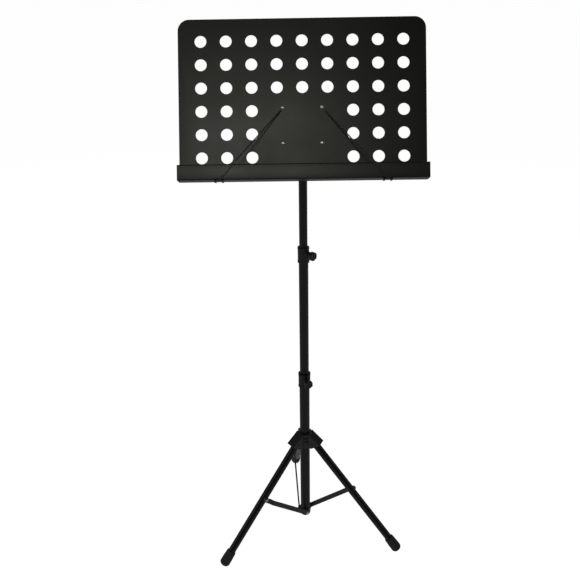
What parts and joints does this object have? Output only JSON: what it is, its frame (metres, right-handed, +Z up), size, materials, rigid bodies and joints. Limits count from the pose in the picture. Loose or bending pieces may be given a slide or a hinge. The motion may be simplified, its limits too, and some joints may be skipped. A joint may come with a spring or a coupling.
{
  "type": "music stand",
  "caption": "Folding music stand: perforated metal desk with ledge and wire page arms on a telescoping column, with a sliding-hub tripod on rubber feet.",
  "frame": {"origin": "on the floor, in the middle of the stand's bounding box; the column axis stands a little in front of it", "axes": "+Z up along the column, -Y towards the player, +X to the player's right"},
  "size_m": [0.48, 0.4108, 1.234],
  "materials": {
    "desk_paint": "satin black powder coat",
    "wire": "semi-gloss black",
    "tube_paint": "semi-gloss black powder coat",
    "strip_paint": "satin black",
    "black_plastic": "satin moulded",
    "knob_plastic": "fine moulded grain",
    "guide_plastic": "smooth",
    "washer_nylon": "natural nylon",
    "brass": "turned",
    "steel": "zinc plated",
    "foot_rubber": "matte"
  },
  "bodies": {
    "base": {"lower_tube": "tube_paint", "end_plug": "black_plastic", "bottom_bracket": "strip_paint", "bracket_rivets": "steel", "lower_collar": "black_plastic", "lower_insert": "brass", "lower_pad": "washer_nylon"},
    "lower_clamp": {"lower_knob": "knob_plastic", "lower_stud": "steel"},
    "middle": {"middle_tube": "tube_paint", "middle_guide": "guide_plastic", "upper_collar": "black_plastic", "upper_insert": "brass", "upper_pad": "washer_nylon"},
    "upper_clamp": {"upper_knob": "knob_plastic", "upper_stud": "steel"},
    "upper": {"upper_tube": "tube_paint", "upper_guide": "guide_plastic"},
    "head": {"tilt_head": "black_plastic", "tilt_washers": "washer_nylon", "socket_insert": "brass", "socket_pad": "washer_nylon"},
    "socket_clamp": {"socket_knob": "knob_plastic", "socket_stud": "steel"},
    "desk": {"desk_panel": "desk_paint", "page_arm_clips": "tube_paint", "desk_bracket": "desk_paint", "desk_screws": "steel", "desk_nuts": "steel", "tilt_bolt": "steel"},
    "tilt_clamp": {"tilt_knob": "knob_plastic", "tilt_knob_nut": "steel"},
    "page_left": {"page_arm_left": "wire"},
    "page_right": {"page_arm_right": "wire"},
    "hub": {"hub": "black_plastic", "hub_liner": "guide_plastic", "leg_pins": "strip_paint"},
    "leg_left": {"leg_left": "tube_paint", "leg_plug_left": "black_plastic", "spacer_left": "steel", "foot_left": "foot_rubber"},
    "brace_left": {"brace_left": "strip_paint", "brace_rivet_left": "steel"},
    "leg_right": {"leg_right": "tube_paint", "leg_plug_right": "black_plastic", "spacer_right": "steel", "foot_right": "foot_rubber"},
    "brace_right": {"brace_right": "strip_paint", "brace_rivet_right": "steel"},
    "leg_rear": {"leg_rear": "tube_paint", "leg_plug_rear": "black_plastic", "spacer_rear": "steel", "foot_rear": "foot_rubber"},
    "brace_rear": {"brace_rear": "strip_paint", "brace_rivet_rear": "steel"}
  },
  "joints": [
    {"name": "hub_slide", "type": "slide", "parent": "base", "child": "hub", "axis": [0, 0, 1], "range_m": [0, 0.0913]},
    {"name": "leg_fold_left", "type": "hinge", "parent": "hub", "child": "leg_left", "pos_m": [-0.02022, -0.06488, 0.26312], "axis": [0.5878, -0.809, 0], "range_deg": [0, 39.05]},
    {"name": "leg_fold_right", "type": "hinge", "parent": "hub", "child": "leg_right", "pos_m": [0.02284, -0.06035, 0.26312], "axis": [0.4067, 0.9135, 0], "range_deg": [0, 39.05]},
    {"name": "leg_fold_rear", "type": "hinge", "parent": "hub", "child": "leg_rear", "pos_m": [-0.00261, -0.02532, 0.26312], "axis": [-0.9945, -0.1045, 0], "range_deg": [0, 39.05]},
    {"name": "brace_fold_left", "type": "hinge", "parent": "base", "child": "brace_left", "pos_m": [-0.00485, -0.05371, 0.045], "axis": [-0.5878, 0.809, 0], "range_deg": [0, 40.82]},
    {"name": "brace_fold_right", "type": "hinge", "parent": "base", "child": "brace_right", "pos_m": [0.00548, -0.05262, 0.045], "axis": [-0.4067, -0.9135, 0], "range_deg": [0, 40.82]},
    {"name": "brace_fold_rear", "type": "hinge", "parent": "base", "child": "brace_rear", "pos_m": [-0.00063, -0.04421, 0.045], "axis": [0.9945, 0.1045, 0], "range_deg": [0, 40.82]},
    {"name": "middle_slide", "type": "slide", "parent": "base", "child": "middle", "axis": [0, 0, 1], "range_m": [-0.275, 0.03]},
    {"name": "upper_slide", "type": "slide", "parent": "middle", "child": "upper", "axis": [0, 0, 1], "range_m": [-0.165, 0.05]},
    {"name": "head_swivel", "type": "hinge", "parent": "upper", "child": "head", "pos_m": [0, -0.05018, 0.97296], "axis": [0, 0, 1], "range_deg": [-180, 180]},
    {"name": "desk_tilt", "type": "hinge", "parent": "head", "child": "desk", "pos_m": [0, -0.05018, 1.02496], "axis": [-1, 0, 0], "range_deg": [-24, 66]},
    {"name": "lower_knob_turn", "type": "hinge", "parent": "base", "child": "lower_clamp", "pos_m": [0, -0.05018, 0.44296], "axis": [0.309, -0.9511, 0], "range_deg": [0, 360]},
    {"name": "upper_knob_turn", "type": "hinge", "parent": "middle", "child": "upper_clamp", "pos_m": [0, -0.05018, 0.76096], "axis": [0.6691, -0.7431, 0], "range_deg": [0, 360]},
    {"name": "socket_knob_turn", "type": "hinge", "parent": "head", "child": "socket_clamp", "pos_m": [0, -0.05018, 0.97296], "axis": [0, 1, 0], "range_deg": [0, 360]},
    {"name": "tilt_knob_turn", "type": "hinge", "parent": "desk", "child": "tilt_clamp", "pos_m": [0, -0.05018, 1.02496], "axis": [1, 0, 0], "range_deg": [0, 360]},
    {"name": "page_arm_left_flip", "type": "hinge", "parent": "desk", "child": "page_left", "pos_m": [-0.16, -0.17197, 0.95768], "axis": [1, 0, 0], "range_deg": [0, 150]},
    {"name": "page_arm_right_flip", "type": "hinge", "parent": "desk", "child": "page_right", "pos_m": [0.16, -0.17197, 0.95768], "axis": [1, 0, 0], "range_deg": [0, 150]}
  ],
  "couplings": [
    {"joint": "leg_fold_left", "follows": "hub_slide", "rad_per_m": 7.4554},
    {"joint": "leg_fold_right", "follows": "hub_slide", "rad_per_m": 7.4554},
    {"joint": "leg_fold_rear", "follows": "hub_slide", "rad_per_m": 7.4554},
    {"joint": "brace_fold_left", "follows": "hub_slide", "rad_per_m": 7.7933},
    {"joint": "brace_fold_right", "follows": "hub_slide", "rad_per_m": 7.7933},
    {"joint": "brace_fold_rear", "follows": "hub_slide", "rad_per_m": 7.7933}
  ]
}
